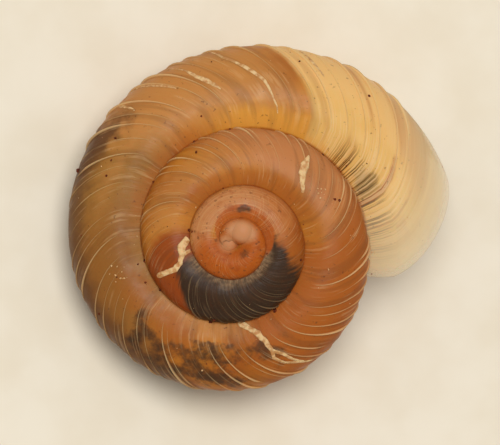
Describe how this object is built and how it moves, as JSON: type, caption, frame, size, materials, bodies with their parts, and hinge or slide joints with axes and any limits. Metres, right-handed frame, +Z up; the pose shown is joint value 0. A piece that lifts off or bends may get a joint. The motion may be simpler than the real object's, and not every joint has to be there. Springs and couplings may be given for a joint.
{
  "type": "land snail shell",
  "caption": "Small low-spired, ribbed land snail shell: a thin hollow coil with a rounded mouth and an open umbilicus.",
  "frame": {"origin": "on the surface the shell rests on, under the middle of its box", "axes": "+Z up, away from the resting surface; +X towards the mouth, along the shell's greatest breadth; +Y across"},
  "size_m": [0.0052, 0.0046, 0.0022],
  "materials": {
    "shell": "satin"
  },
  "bodies": {
    "root": {"shell": "shell"}
  },
  "joints": []
}
